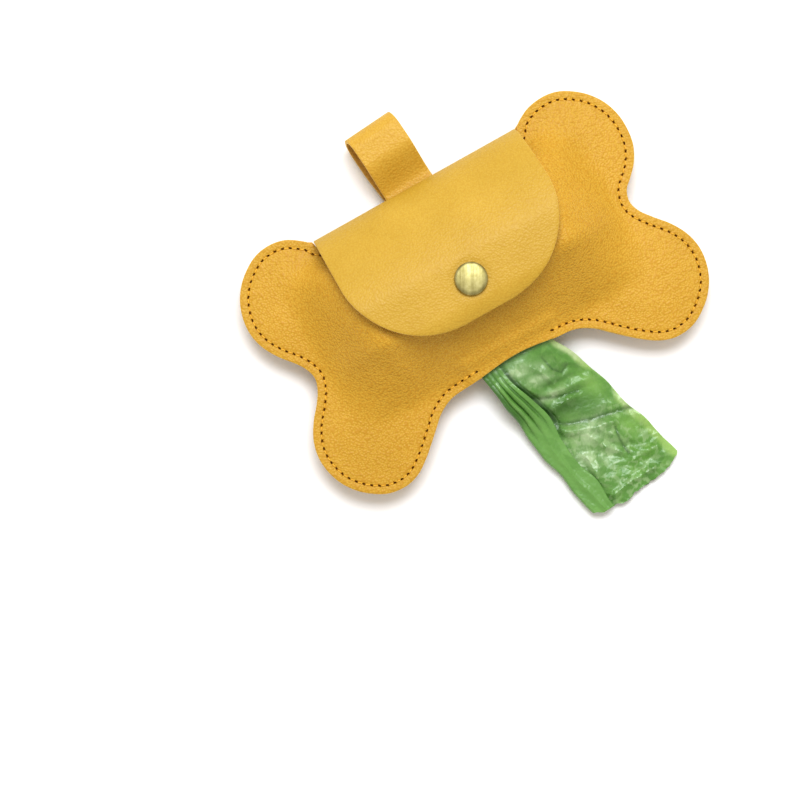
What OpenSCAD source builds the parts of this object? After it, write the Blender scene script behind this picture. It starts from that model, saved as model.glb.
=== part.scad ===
// Bone-shaped leather pouch that holds and dispenses a roll of bags.
// Lies on its back: +X along the bone, +Y towards the leash loop,
// +Z out of the front. z = 0 is the flat of the back panel's belly.

/* [Leather] */
// Thickness of the panels, flap and strap
leather_t = 1.3; // [1.1:0.1:1.4]
// Height of the seam plane, the underside of the back panel's rim
rim_z = 6.7; // [6.7:0.1:7.5]
// Distance of the stitching from the cut edge
seam_allowance = 2.7; // [2.2:0.1:3.2]
// Distance from one needle hole to the next
stitch_pitch = 2.55; // [2.3:0.05:3.5]
// Diameter of the sewing thread
thread_d = 0.5; // [0.4:0.1:0.6]

/* [Flap] */
// Half the width of the flap
flap_half_w = 37; // [34:0.5:37]
// Radius of the flap's two lower corners
flap_corner_r = 30; // [20:1:32]

/* [Strap] */
// Width of the strap
strap_w = 17; // [14:0.5:20]
// Lean of the strap from the bone's own axis, in degrees
strap_lean = 4.7; // [0:0.1:6]
// Inner radius of the loop that goes round the leash
loop_r = 4.5; // [4.4:0.1:4.6]
// Where the centre of the loop lies above the bone's middle
loop_y = 57.1; // [56:0.1:60]

/* [Roll of bags] */
// Radius of the roll of bags
roll_r = 11.5; // [10:0.1:11.6]
// Length of the roll
roll_len = 60; // [56:1:61]
// Outer radius of the cardboard core
core_r = 6.0; // [5:0.1:7]

/* [Snaps] */
// Radius of a snap's domed cap
cap_r = 5.25; // [4.5:0.05:5.5]
// Height of the dome
cap_h = 1.7; // [1.4:0.1:1.7]

/* [Hidden] */
$fn = 48;

leather = [0.86, 0.66, 0.27];
brass = [0.76, 0.69, 0.44];
thread = [0.80, 0.55, 0.13];
film = [0.45, 0.68, 0.33];
board = [0.72, 0.60, 0.44];

front_z0 = rim_z + 2 * leather_t + 0.1;   // top of the front panel's rim

// One quarter of the bone's outline, from the middle of the waist round
// the lobe to the notch between the lobes.
Q = [[0, -26.4], [9, -26.4], [17, -26.7], [23, -27.4], [28, -29.9],
     [32, -33.5], [36, -37.2], [40, -40.6], [44, -43.2], [48, -44.6],
     [52, -44.8], [56, -44.0], [60, -41.9], [64.2, -38.4], [67.6, -33.6],
     [69.5, -28], [69.8, -22.4], [68.4, -17], [65.5, -12], [62, -7.8],
     [59.3, -4], [58.1, 0]];
// Where each of those points' spokes starts, close to the bone's axis.
QC = [0, 9, 17, 23, 28, 31.5, 34.5, 37, 39, 41, 42.5, 43.5, 44.3, 45,
      45.6, 46.1, 46.5, 46.9, 47.2, 47.5, 47.8, 48.2];
nq = len(Q) - 1;
// The front panel above the axis: under the flap's corner its edge runs
// just clear of the fold.
function flip_y(p) = [p[0], -p[1]];
QT = [for (i = [0:nq]) i == 5 ? [33, 33.9] : i == 6 ? [37.3, 36.3]
      : i == 7 ? [39.4, 39.6] : flip_y(Q[i])];

// Back panel above the axis: lobe, then the straight fold line.
QB = [[58.1, 0], [59.3, 4], [62, 7.8], [65.5, 12], [68.4, 17],
      [69.8, 22.4], [69.5, 28], [67.6, 33.6], [64.2, 38.4], [60, 41.9],
      [56, 44.0], [52, 44.8], [48, 44.6], [44, 43.0], [40, 40.2],
      [37, 38.5], [34, 38.5], [31, 38.5], [26, 38.5], [20, 38.5],
      [10, 38.5], [0, 38.5]];
QBC = [48.2, 47.8, 47.5, 47.2, 46.9, 46.5, 46.1, 45.6, 45, 44.3, 43.5,
       42.5, 41, 39, 37, 35.2, 33.2, 30.8, 26, 20, 10, 0];

function flip_x(p) = [-p[0], p[1]];
function rev(a) = [for (i = [len(a) - 1:-1:0]) a[i]];

// Spokes as [outline point, inner x], anticlockwise from the slot.
low_right = [for (i = [0:nq]) [Q[i], QC[i]]];
top_right = [for (i = [0:nq]) [QT[i], QC[i]]];
back_right = [for (i = [0:nq]) [QB[i], QBC[i]]];
function mirror_spokes(a) = [for (q = rev(a)) [flip_x(q[0]), -q[1]]];
function tail1(a) = [for (i = [1:len(a) - 1]) a[i]];
function but1(a) = [for (i = [0:len(a) - 2]) a[i]];
// The four lobes aren't cut quite alike.
function cut(p) =
    let (w = ease((abs(p[0]) - 38) / 9) * ease((abs(p[1]) - 3) / 7))
    p + w * (p[0] > 0 && p[1] > 0 ? [-0.9 * ease((p[1] - 12) / 12), -1.7]
             : p[0] > 0 ? [0.7, -0.6] : p[1] > 0 ? [0.5, -0.4] : [0.3, 0]);
function round_trip(r) = [for (q = but1(concat(r, tail1(mirror_spokes(r)))))
                          [cut(q[0]), q[1]]];
front_ctrl = round_trip(concat(low_right, tail1(rev(top_right))));
back_ctrl = round_trip(concat(low_right, tail1(back_right)));

// Closed smooth curve through control points, m steps to a span.
function cr(a, b, c, d, t) =
    0.5 * (2 * b + (c - a) * t + (2 * a - 5 * b + 4 * c - d) * t * t
           + (3 * b - a - 3 * c + d) * t * t * t);
function smooth_loop(p, m) =
    let (n = len(p))
    [for (i = [0:n - 1]) for (k = [0:m - 1])
        cr(p[(i + n - 1) % n], p[i], p[(i + 1) % n], p[(i + 2) % n], k / m)];
function spokes(ctrl, m) =
    let (o = smooth_loop([for (q = ctrl) q[0]], m),
         c = smooth_loop([for (q = ctrl) q[1]], m))
    [for (i = [0:len(o) - 1]) [o[i], c[i]]];

function clamp01(t) = max(0, min(1, t));
function ease(t) = let (u = clamp01(t)) u * u * (3 - 2 * u);

// Section of the front panel over the roll: outer height against y.
front_y = [[-60, 9.2], [-28, 9.2], [-24, 9.4], [-22, 10.4], [-20, 12],
           [-15, 15.9], [-10, 20], [-6, 23.3], [-4, 25.2], [-2, 26.6],
           [8.6, 26.6], [11, 26.1], [15, 25], [20, 23.2], [24, 21],
           [26.6, 19], [30, 13.6], [33, 10], [35, 9.2], [60, 9.2]];
// Section of the back panel's belly: depth below the rim against y.
belly_y = [[-60, 0], [-26, 0], [-24, 0.2], [-20, 1.9], [-16, 4.1],
           [-12, 5.8], [-9, 6.45], [-7, 6.5], [9, 6.5], [11, 6.2],
           [13, 5.2], [15, 3.4], [17, 1.4], [18.5, 0.3], [19.5, 0], [60, 0]];
// Share of the section that is left at a distance from the middle.
function front_x(x) = 1 - ease((abs(x) - 31) / 25);
function belly_x(x) = 1 - ease((abs(x) - 31) / 23);
// The lip over the slot stands up a little, to let the bag through.
function lip(x, y) = 1.5 * ease((20 - abs(x - 2)) / 5) * ease((-17 - y) / 4);

function front_top(x, y) =
    front_z0 + (lookup(y, front_y) - 9.2) * front_x(x) + lip(x, y);
function back_low(x, y) =
    rim_z - lookup(y, belly_y) * rim_z / 6.5 * belly_x(x);
// Vertical thickness that gives the leather its thickness on a slope.
function steep(z0, zx, zy) = leather_t * sqrt(1 + pow((zx - z0) / 0.5, 2)
                                                + pow((zy - z0) / 0.5, 2));
function front_th(x, y) = steep(front_top(x, y), front_top(x + 0.5, y),
                                front_top(x, y + 0.5));
function back_th(x, y) = steep(back_low(x, y), back_low(x + 0.5, y),
                               back_low(x, y + 0.5));

rings = 8;
function ring_pt(s, k) =
    let (t = pow(k / rings, 0.9), sg = s[0][1] < 0 ? -1 : 1,
         e = abs(s[0][1]) < 0.01 ? 0 : sg * 0.8)
    [s[1] + (s[0][0] - s[1]) * t, e + (s[0][1] - e) * t];

// A panel is two skins of quads on the same rings and spokes, closed
// along the outline and across the bone's axis.
module panel(sp, front) {
    n = len(sp);
    grid = [for (k = [0:rings]) for (i = [0:n - 1]) ring_pt(sp[i], k)];
    up = [for (p = grid) [p[0], p[1],
          front ? front_top(p[0], p[1]) : back_low(p[0], p[1]) + back_th(p[0], p[1])]];
    dn = [for (p = grid) [p[0], p[1],
          front ? front_top(p[0], p[1]) - front_th(p[0], p[1]) : back_low(p[0], p[1])]];
    m = len(grid);
    top = [for (k = [0:rings - 1]) for (i = [0:n - 1])
           let (j = (i + 1) % n, a = k * n + i, b = k * n + j,
                c = (k + 1) * n + j, d = (k + 1) * n + i)
           each [[a, b, c], [a, c, d]]];
    // across the axis: the spokes below it pair with those above it,
    // starting at the right-hand notch
    h = n / 4;
    mid = [for (k = [0:n / 2 - 1])
           let (a = (h - k + n) % n, b = (h + k) % n, c = (h + k + 1) % n,
                d = (h - k - 1 + n) % n)
           each (k == 0 ? [[a, d, c]] : k == n / 2 - 1 ? [[a, c, b]]
                 : [[a, c, b], [a, d, c]])];
    skin = concat(top, mid);
    low = [for (f = skin) [f[0] + m, f[2] + m, f[1] + m]];
    wall = [for (i = [0:n - 1])
            let (j = (i + 1) % n, a = rings * n + i, b = rings * n + j)
            each [[a, b, b + m], [a, b + m, a + m]]];
    polyhedron(concat(up, dn), concat(skin, low, wall));
}

module back_panel() {
    color(leather) panel(spokes(back_ctrl, 1), false);
}

module front_panel() {
    color(leather) panel(spokes(front_ctrl, 1), true);
}

// ---- flap: a curved sheet from the fold line to its rounded end ----
flap_snap_y = 2.4;
flap_side = [[38.5, 8.15], [38.5, 10], [37.8, 12.9], [36, 15.9],
             [33, 19], [29, 21.9], [24, 24.8], [18.5, 27.5],
             [14, 29.3], [10, 30.45], [-4.4, 30.45], [-7, 29.6],
             [-9.3, 28.5]];
nf = len(flap_side);
flap_s = [for (i = 0, s = 0; i < nf;
               s = s + (i + 1 < nf ? norm(flap_side[i + 1] - flap_side[i]) : 0),
               i = i + 1) s];
flap_len = flap_s[nf - 1];
flap_ty = [for (i = [0:nf - 1]) [flap_s[i], flap_side[i][0]]];
flap_tz = [for (i = [0:nf - 1]) [flap_s[i], flap_side[i][1]]];
function flap_at(s) = [lookup(s, flap_ty), lookup(s, flap_tz)];
function flap_in(s) =
    let (a = flap_at(max(0, s - 0.8)), b = flap_at(min(flap_len, s + 0.8)),
         d = (b - a) / norm(b - a))
    [flap_at(s)[0] - leather_t * -d[1] * -1, flap_at(s)[1] + leather_t * d[0]];
function flap_w(s) =
    let (d = flap_len - s, r = flap_corner_r)
    d >= r ? flap_half_w
           : flap_half_w - r + sqrt(max(0, r * r - (r - d) * (r - d)));
flap_rows = concat([for (i = [0:9]) i * (flap_len - 30) / 10],
                   [for (i = [0:12]) flap_len - 30 * pow(1 - i / 12, 1.6)]);
fc = 12;

module flap_sheet() {
    nr = len(flap_rows);
    up = [for (s = flap_rows) let (q = flap_at(s), w = flap_w(s))
          for (j = [0:fc]) [w * (2 * j / fc - 1), q[0], q[1]]];
    dn = [for (s = flap_rows)
          let (q = flap_in(s), w = flap_w(s), z = s < 0.1 ? flap_at(0)[1] : q[1])
          for (j = [0:fc]) [w * (2 * j / fc - 1), q[0], z]];
    m = len(up);
    c1 = fc + 1;
    top = [for (i = [0:nr - 2]) for (j = [0:fc - 1])
           let (a = i * c1 + j, b = a + 1, c = b + c1, d = a + c1)
           each [[a, d, c], [a, c, b]]];
    low = [for (f = top) [f[0] + m, f[2] + m, f[1] + m]];
    rim = concat([for (j = [0:fc]) j],
                 [for (i = [1:nr - 1]) i * c1 + fc],
                 [for (j = [fc - 1:-1:0]) (nr - 1) * c1 + j],
                 [for (i = [nr - 2:-1:1]) i * c1]);
    wall = [for (i = [0:len(rim) - 1])
            let (a = rim[i], b = rim[(i + 1) % len(rim)])
            each [[a, b, b + m], [a, b + m, a + m]]];
    polyhedron(concat(up, dn), [for (f = concat(top, low, wall)) rev(f)]);
}

module flap() {
    color(leather) flap_sheet();
}

// ---- strap: root sewn to the back, loop round the leash, free tail ----
strap_snap_y = 28.5;
strap_x0 = -0.5;
root_low = rim_z - 0.05 - leather_t;      // underside of the root
tail_z = cap_h;                           // underside of the tail
loop_z = tail_z + leather_t + loop_r;     // centre of the loop
root_end = 21;
tail_end = 21.3;

// Puts a shape drawn at the strap's snap into the strap's own lean.
module strap_at() {
    translate([strap_x0, strap_snap_y, 0]) rotate([0, 0, strap_lean]) children();
}

// Rise of the root's underside from the panel to the loop.
rise_y = [for (i = [0:12]) 40 + i * 12.5 / 12];
function rise_z(y) = root_low + (loop_z + loop_r - root_low) * ease((y - 40) / 12.5);

// Drawn in [y, z], with y counted from the strap's snap.
module root_side() {
    top = [for (y = rise_y) [y - strap_snap_y, rise_z(y) + leather_t]];
    low = [for (y = rise_y) [y - strap_snap_y, rise_z(y)]];
    e = root_end - strap_snap_y;
    c = loop_y - strap_snap_y;
    polygon(concat([[e, root_low]], low, [[c + 0.01, loop_z + loop_r],
            [c + 0.01, loop_z + loop_r + leather_t]], rev(top),
            [[e, root_low + leather_t]]));
    translate([c, loop_z]) difference() {
        circle(r = loop_r + leather_t);
        circle(r = loop_r);
        translate([-20, -20]) square([20, 40]);
    }
}

module strap_root() {
    color(leather) strap_at() difference() {
        rotate([90, 0, 90]) translate([0, 0, -strap_w / 2])
            linear_extrude(strap_w) root_side();
        translate([0, 0, root_low - 1]) cylinder(r = 1.25, h = 5);
    }
}

// The free end, with two rounded corners.
module strap_tail() {
    y0 = tail_end - strap_snap_y;
    y1 = loop_y - 1 - strap_snap_y;
    r = 4;
    color(leather) strap_at() translate([0, 0, tail_z]) difference() {
        linear_extrude(leather_t) {
            translate([-strap_w / 2, y0 + r]) square([strap_w, y1 - y0 - r]);
            translate([-strap_w / 2 + r, y0]) square([strap_w - 2 * r, r + 1]);
            for (sx = [-1, 1])
                translate([sx * (strap_w / 2 - r), y0 + r]) circle(r = r);
        }
        translate([0, 0, -1]) cylinder(r = 1.65, h = 4);
    }
}

// ---- snaps, drawn on the Z axis with the cap's side up ----
// The leather that carries the cap lies from z = 0 to z = leather_t.
module snap_cap() {
    translate([0, 0, leather_t]) rotate_extrude() {
        polygon(concat([[0, 0], [cap_r - 0.35, 0], [cap_r, 0.3]],
            [for (i = [0:10]) let (x = cap_r * (1 - i / 10))
                [x, 0.5 + (cap_h - 0.5) * (1 - pow(x / cap_r, 2.6))]]));
    }
    translate([0, 0, -0.9]) difference() {
        cylinder(r = 1.6, h = leather_t + 1);
        translate([0, 0, -0.1]) cylinder(r = 1.1, h = 1.2);
    }
}
// The ring on the far side of the same leather; its mouth faces down.
module snap_socket() {
    rotate_extrude() polygon([[1.65, -0.05], [4.4, -0.05], [4.7, -0.35],
        [4.7, -1.1], [4.2, -1.75], [2.75, -1.75], [2.75, -1.5],
        [3.2, -1.4], [3.2, -0.95], [1.65, -0.95]]);
}
// The wire ring inside the socket that grips the stud, with its gap.
module snap_spring() {
    translate([0, 0, -1.2]) difference() {
        rotate_extrude() translate([2.8, 0]) circle(r = 0.18, $fn = 16);
        translate([2, -0.6, -1]) cube([3, 1.2, 2]);
    }
}
// The stud stands on the second leather, whose top lies at z = 0.
module snap_stud() {
    rotate_extrude() polygon([[1.3, 0.02], [4.2, 0.02], [4.4, 0.2],
        [4.2, 0.4], [2.1, 0.45], [1.95, 0.7], [2.2, 0.95], [2.15, 1.15],
        [1.8, 1.3], [1.3, 1.3]]);
}
// The post goes up through that leather from a flange under it.
module snap_post() {
    translate([0, 0, -leather_t - 0.7]) cylinder(r = 3.9, h = 0.6);
    translate([0, 0, -leather_t - 0.2]) cylinder(r = 1.2, h = leather_t + 1.4);
}

snap_gap = 2.35;                          // between the two leathers of a snap
stud_z = front_top(0, flap_snap_y);       // front panel's face at the stud
module on_flap() { translate([0, flap_snap_y, stud_z + snap_gap]) children(); }
module on_front() { translate([0, flap_snap_y, stud_z]) children(); }
module on_tail() { strap_at() translate([0, 0, tail_z + leather_t]) mirror([0, 0, 1]) children(); }
module on_root() { strap_at() translate([0, 0, root_low]) mirror([0, 0, 1]) children(); }

module flap_snap_cap() { color(brass) on_flap() snap_cap(); }
module flap_snap_socket() { color(brass) on_flap() snap_socket(); }
module flap_snap_spring() { color("silver") on_flap() snap_spring(); }
module flap_snap_stud() { color(brass) on_front() snap_stud(); }
module flap_snap_post() { color(brass) on_front() snap_post(); }
module strap_snap_cap() { color(brass) on_tail() snap_cap(); }
module strap_snap_socket() { color(brass) on_tail() snap_socket(); }
module strap_snap_spring() { color("silver") on_tail() snap_spring(); }
module strap_snap_stud() { color(brass) on_root() snap_stud(); }
// This post passes the root and the back panel, so it is longer.
module strap_snap_post() {
    color(brass) strap_at() {
        translate([0, 0, rim_z + leather_t + 0.1]) cylinder(r = 3.9, h = 0.6);
        translate([0, 0, root_low - 1.2])
            cylinder(r = 1.2, h = rim_z + leather_t + 0.3 - root_low + 1.2);
    }
}

// ---- stitching: one closed loop of thread for every stitch ----
// The seam's line, seam_allowance inside the outline.
front_outline = [for (s = spokes(front_ctrl, 4)) s[0]];
no = len(front_outline);
seam_line = [for (i = [0:no - 1])
    let (a = front_outline[(i + no - 1) % no], b = front_outline[(i + 1) % no],
         d = (b - a) / norm(b - a))
    front_outline[i] + seam_allowance * [-d[1], d[0]]];
// One run on each side, from the slot's end to under the flap, as tables
// of x and y against the length along it.
function half_line(side) =
    [for (i = [0:no / 2]) seam_line[side > 0 ? i : (no - i) % no]];
function run_lengths(h) =
    [for (i = 0, s = 0; i < len(h);
          s = s + (i + 1 < len(h) ? norm(h[i + 1] - h[i]) : 0), i = i + 1) s];
function run_table(h, s, k) = [for (i = [0:len(h) - 1]) [s[i], h[i][k]]];

module thread_loop(len, lo, hi) {
    t = thread_d;
    translate([0, t / 2, 0]) rotate([90, 0, 0]) linear_extrude(t) difference() {
        translate([-len / 2, lo - t]) square([len, hi - lo + 2 * t]);
        translate([-len / 2 + t, lo]) square([len - 2 * t, hi - lo]);
    }
}
module seam_run(s0, rest, side) {
    h = half_line(side);
    along = run_lengths(h);
    tx = run_table(h, along, 0);
    ty = run_table(h, along, 1);
    function on_run(s) = [lookup(s, tx), lookup(s, ty)];
    count = floor((along[len(h) - 1] - rest - s0) / stitch_pitch);
    for (i = [0:count - 1]) {
        s = s0 + (i + 0.5) * stitch_pitch;
        p = on_run(s);
        q = on_run(s + 0.5);
        a = atan2(q[1] - p[1], q[0] - p[0]);
        hi = max([for (k = [-1:1]) let (r = on_run(s + k)) front_top(r[0], r[1])]);
        lo = min([for (k = [-1:1]) let (r = on_run(s + k)) back_low(r[0], r[1])]);
        translate([p[0], p[1], 0])
            rotate([0, 0, a]) thread_loop(stitch_pitch - 0.45, lo - 0.02, hi + 0.02);
    }
}
module seam_stitching_right() { color(thread) seam_run(16, 38, 1); }
module seam_stitching_left() { color(thread) seam_run(12, 38, -1); }

// Two rows across the strap's root, one each side of its snap.
module strap_stitching() {
    color(thread) strap_at()
        for (y = [22.3, 35.2]) for (i = [-2.5:1:2.5])
            translate([i * stitch_pitch, y - strap_snap_y, 0])
                thread_loop(stitch_pitch - 0.45, root_low - 0.02, rim_z + leather_t + 0.02);
}

// ---- roll of bags ----
roll_y = 3;
roll_z = leather_t + 0.3 + roll_r;
module roll_core() {
    color(board) translate([-roll_len / 2 + 0.6, roll_y, roll_z]) rotate([0, 90, 0])
        difference() {
            cylinder(r = core_r, h = roll_len - 1.2);
            translate([0, 0, -1]) cylinder(r = core_r - 0.9, h = roll_len + 2);
        }
}
module bag_roll() {
    color(film) translate([-roll_len / 2, roll_y, roll_z]) rotate([0, 90, 0])
        difference() {
            cylinder(r = roll_r, h = roll_len);
            translate([0, 0, -1]) cylinder(r = core_r + 0.03, h = roll_len + 2);
        }
}

// ---- the bag that is on its way out ----
// Stations down its length: [centre x, y, half width, underside z, thickness].
// The first three lie inside the pouch and in the slot, flat and level.
bag_path = [[-1.4, -12.8, 11.9, 8.5, 0.8], [1.6, -22, 12.2, 8.5, 0.8],
            [4, -31, 12.5, 8.45, 0.8], [5, -35.6, 13.3, 6.4, 1.2],
            [6.2, -40.5, 14, 3.6, 1.6], [8.4, -47, 14.6, 1.6, 2],
            [10.8, -54.5, 15, 0.7, 2.2], [13.6, -63.5, 15.3, 0.4, 2.2],
            [16.4, -72.5, 15.5, 0.4, 2.2], [19, -80.6, 15.6, 0.4, 2.2]];
bag_dir = 17.3;                           // degrees from -Y towards +X
module leading_bag() {
    n = len(bag_path);
    c = cos(bag_dir);
    s = sin(bag_dir);
    pts = [for (b = bag_path) each [
        [b[0] - c * b[2], b[1] - s * b[2], b[3]], [b[0] + c * b[2], b[1] + s * b[2], b[3]],
        [b[0] + c * b[2], b[1] + s * b[2], b[3] + b[4]], [b[0] - c * b[2], b[1] - s * b[2], b[3] + b[4]]]];
    sides = [for (i = [0:n - 2]) for (k = [0:3])
             let (a = 4 * i + k, b = 4 * i + (k + 1) % 4, d = a + 4, e = b + 4)
             each [[a, b, e], [a, e, d]]];
    ends = [[3, 2, 1], [3, 1, 0], [4 * n - 4, 4 * n - 3, 4 * n - 2],
            [4 * n - 4, 4 * n - 2, 4 * n - 1]];
    color(film) polyhedron(pts, [for (f = concat(sides, ends)) rev(f)]);
}

back_panel();
front_panel();
flap();
strap_root();
strap_tail();
flap_snap_cap();
flap_snap_socket();
flap_snap_spring();
flap_snap_stud();
flap_snap_post();
strap_snap_cap();
strap_snap_socket();
strap_snap_spring();
strap_snap_stud();
strap_snap_post();
seam_stitching_left();
seam_stitching_right();
strap_stitching();
roll_core();
bag_roll();
leading_bag();
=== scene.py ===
"""Looks of the bone-shaped leather pouch: leather, stitches, snaps and bag film.

Drawn in millimetres in the part's own frame, +X along the bone, +Y towards
the strap loop, +Z out of the front, and turned into metres in make().
"""

import math

import bmesh
import bpy
import numpy as np
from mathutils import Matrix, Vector
from mathutils.geometry import delaunay_2d_cdt


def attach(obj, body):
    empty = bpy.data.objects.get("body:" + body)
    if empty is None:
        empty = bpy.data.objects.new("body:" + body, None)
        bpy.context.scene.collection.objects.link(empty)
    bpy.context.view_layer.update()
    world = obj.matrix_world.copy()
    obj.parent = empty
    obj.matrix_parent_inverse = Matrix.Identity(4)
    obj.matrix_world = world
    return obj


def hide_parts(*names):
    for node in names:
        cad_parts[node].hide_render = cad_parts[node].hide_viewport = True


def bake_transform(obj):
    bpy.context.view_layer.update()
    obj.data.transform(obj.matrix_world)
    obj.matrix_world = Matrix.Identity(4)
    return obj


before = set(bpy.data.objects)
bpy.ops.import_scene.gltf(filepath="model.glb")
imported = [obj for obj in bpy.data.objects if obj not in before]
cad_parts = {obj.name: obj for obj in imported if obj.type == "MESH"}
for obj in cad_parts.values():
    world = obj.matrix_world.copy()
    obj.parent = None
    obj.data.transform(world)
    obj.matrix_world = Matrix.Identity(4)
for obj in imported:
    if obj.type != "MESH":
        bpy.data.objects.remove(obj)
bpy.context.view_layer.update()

MM = 0.001
LEATHER_T = 1.3
RIM_Z = 6.7
FRONT_Z = RIM_Z + 2 * LEATHER_T + 0.1
SEAM = 2.7
PITCH = 2.55


# ---------------------------------------------------------------- helpers
def ease(t):
    t = np.clip(t, 0.0, 1.0)
    return t * t * (3 - 2 * t)


def waves(x, y, seed, size):
    """Smooth, repeatable unevenness between about -1 and 1."""
    r = np.random.default_rng(seed)
    out = 0.0
    for _ in range(6):
        a = r.uniform(0, 2 * math.pi)
        k = 2 * math.pi / (size * r.uniform(0.7, 1.6))
        out = out + np.sin((x * math.cos(a) + y * math.sin(a)) * k + r.uniform(0, 7))
    return out / 3.2


def spline(points, per=16, closed=False):
    """Catmull-Rom through points."""
    p = np.asarray(points, float)
    n = len(p)
    if not closed:
        p = np.vstack([2 * p[0] - p[1], p, 2 * p[-1] - p[-2]])
        spans = [(i, i + 1, i + 2, i + 3) for i in range(n - 1)]
    else:
        spans = [((i - 1) % n, i, (i + 1) % n, (i + 2) % n) for i in range(n)]
    t = np.arange(per)[:, None] / per
    out = []
    for a, b, c, d in spans:
        a, b, c, d = p[a], p[b], p[c], p[d]
        out.append(
            0.5
            * (
                2 * b
                + (c - a) * t
                + (2 * a - 5 * b + 4 * c - d) * t**2
                + (3 * b - a - 3 * c + d) * t**3
            )
        )
    out = np.vstack(out)
    if not closed:
        out = np.vstack([out, p[-2]])
    return out


def lengths(p):
    return np.concatenate([[0], np.cumsum(np.linalg.norm(np.diff(p, axis=0), axis=1))])


def resample(p, step, closed=False):
    q = np.vstack([p, p[:1]]) if closed else p
    s = lengths(q)
    n = max(2, int(round(s[-1] / step)))
    t = np.linspace(0, s[-1], n + 1)
    out = np.column_stack([np.interp(t, s, q[:, k]) for k in range(q.shape[1])])
    return out[:-1] if closed else out


def outward(p):
    """Outward normals of a closed anticlockwise line."""
    d = np.roll(p, -1, axis=0) - np.roll(p, 1, axis=0)
    d /= np.linalg.norm(d, axis=1)[:, None]
    return np.column_stack([d[:, 1], -d[:, 0]])


def inside(poly, pts):
    out = np.zeros(len(pts), bool)
    x, y = pts[:, 0], pts[:, 1]
    a, b = poly, np.roll(poly, -1, axis=0)
    for (x0, y0), (x1, y1) in zip(a, b):
        hit = (y0 > y) != (y1 > y)
        if hit.any():
            out ^= hit & (x < (x1 - x0) * (y - y0) / (y1 - y0 + 1e-12) + x0)
    return out


def edge_distance(poly, pts, closed=True):
    """Distance from each point to the line."""
    a = poly if closed else poly[:-1]
    b = np.roll(poly, -1, axis=0) if closed else poly[1:]
    best = np.full(len(pts), 1e9)
    for i in range(0, len(pts), 4000):
        p = pts[i : i + 4000, None, :]
        ab = (b - a)[None]
        t = np.clip(((p - a[None]) * ab).sum(2) / ((ab**2).sum(2) + 1e-12), 0, 1)
        best[i : i + 4000] = np.linalg.norm(p - a[None] - t[..., None] * ab, axis=2).min(1)
    return best


def table(points, soft):
    """A smooth function through (x, value) points."""
    p = np.asarray(points, float)
    xs = np.arange(p[0, 0], p[-1, 0] + 0.01, 0.25)
    v = np.interp(xs, p[:, 0], p[:, 1])
    k = np.exp(-0.5 * (np.arange(-16, 17) * 0.25 / soft) ** 2)
    v = np.convolve(np.pad(v, 16, mode="edge"), k / k.sum(), mode="valid")
    return lambda x: np.interp(x, xs, v)


def make(name, verts, faces, mats, index=None, sharp=38, join=True):
    me = bpy.data.meshes.new(name)
    me.from_pydata((np.asarray(verts) * MM).tolist(), [], [list(map(int, f)) for f in faces])
    for m in mats:
        me.materials.append(m)
    if index is not None:
        me.polygons.foreach_set("material_index", np.asarray(index, dtype=np.int32))
    bm = bmesh.new()
    bm.from_mesh(me)
    if join:
        bmesh.ops.remove_doubles(bm, verts=bm.verts, dist=2e-7)
    bmesh.ops.recalc_face_normals(bm, faces=bm.faces)
    bm.to_mesh(me)
    bm.free()
    me.polygons.foreach_set("use_smooth", [True] * len(me.polygons))
    me.set_sharp_from_angle(angle=math.radians(sharp))
    me.update()
    ob = bpy.data.objects.new(name, me)
    bpy.context.scene.collection.objects.link(ob)
    return ob


# -------------------------------------------------------------- materials
def material(name, color, rough, metal=0.0):
    m = bpy.data.materials.new(name)
    m.use_nodes = True
    b = m.node_tree.nodes["Principled BSDF"]
    b.inputs["Base Color"].default_value = (*color, 1)
    b.inputs["Roughness"].default_value = rough
    b.inputs["Metallic"].default_value = metal
    return m, m.node_tree, b


def node(t, kind, **values):
    n = t.nodes.new(kind)
    for k, v in values.items():
        if k in n.inputs:
            n.inputs[k].default_value = v
        else:
            setattr(n, k, v)
    return n


def ramp(t, source, stops):
    n = t.nodes.new("ShaderNodeValToRGB")
    e = n.color_ramp.elements
    while len(e) < len(stops):
        e.new(0.5)
    for el, (pos, col) in zip(e, stops):
        el.position = pos
        el.color = (*col, 1) if len(col) == 3 else col
    t.links.new(source, n.inputs["Fac"])
    return n.outputs["Color"]


def coords(t, scale=(1, 1, 1), turn=(0, 0, 0), kind="POINT"):
    c = t.nodes.new("ShaderNodeTexCoord")
    m = t.nodes.new("ShaderNodeMapping")
    m.vector_type = kind
    m.inputs["Scale"].default_value = scale
    m.inputs["Rotation"].default_value = turn
    t.links.new(c.outputs["Object"], m.inputs["Vector"])
    return m.outputs["Vector"]


def noise(t, vec, scale, detail=3.0, rough=0.5):
    n = node(t, "ShaderNodeTexNoise")
    n.inputs["Scale"].default_value = scale
    n.inputs["Detail"].default_value = detail
    n.inputs["Roughness"].default_value = rough
    t.links.new(vec, n.inputs["Vector"])
    return n.outputs["Fac"]


def bump(t, height, distance, strength, normal=None):
    n = t.nodes.new("ShaderNodeBump")
    n.inputs["Strength"].default_value = strength
    n.inputs["Distance"].default_value = distance
    t.links.new(height, n.inputs["Height"])
    if normal is not None:
        t.links.new(normal, n.inputs["Normal"])
    return n.outputs["Normal"]


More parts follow.
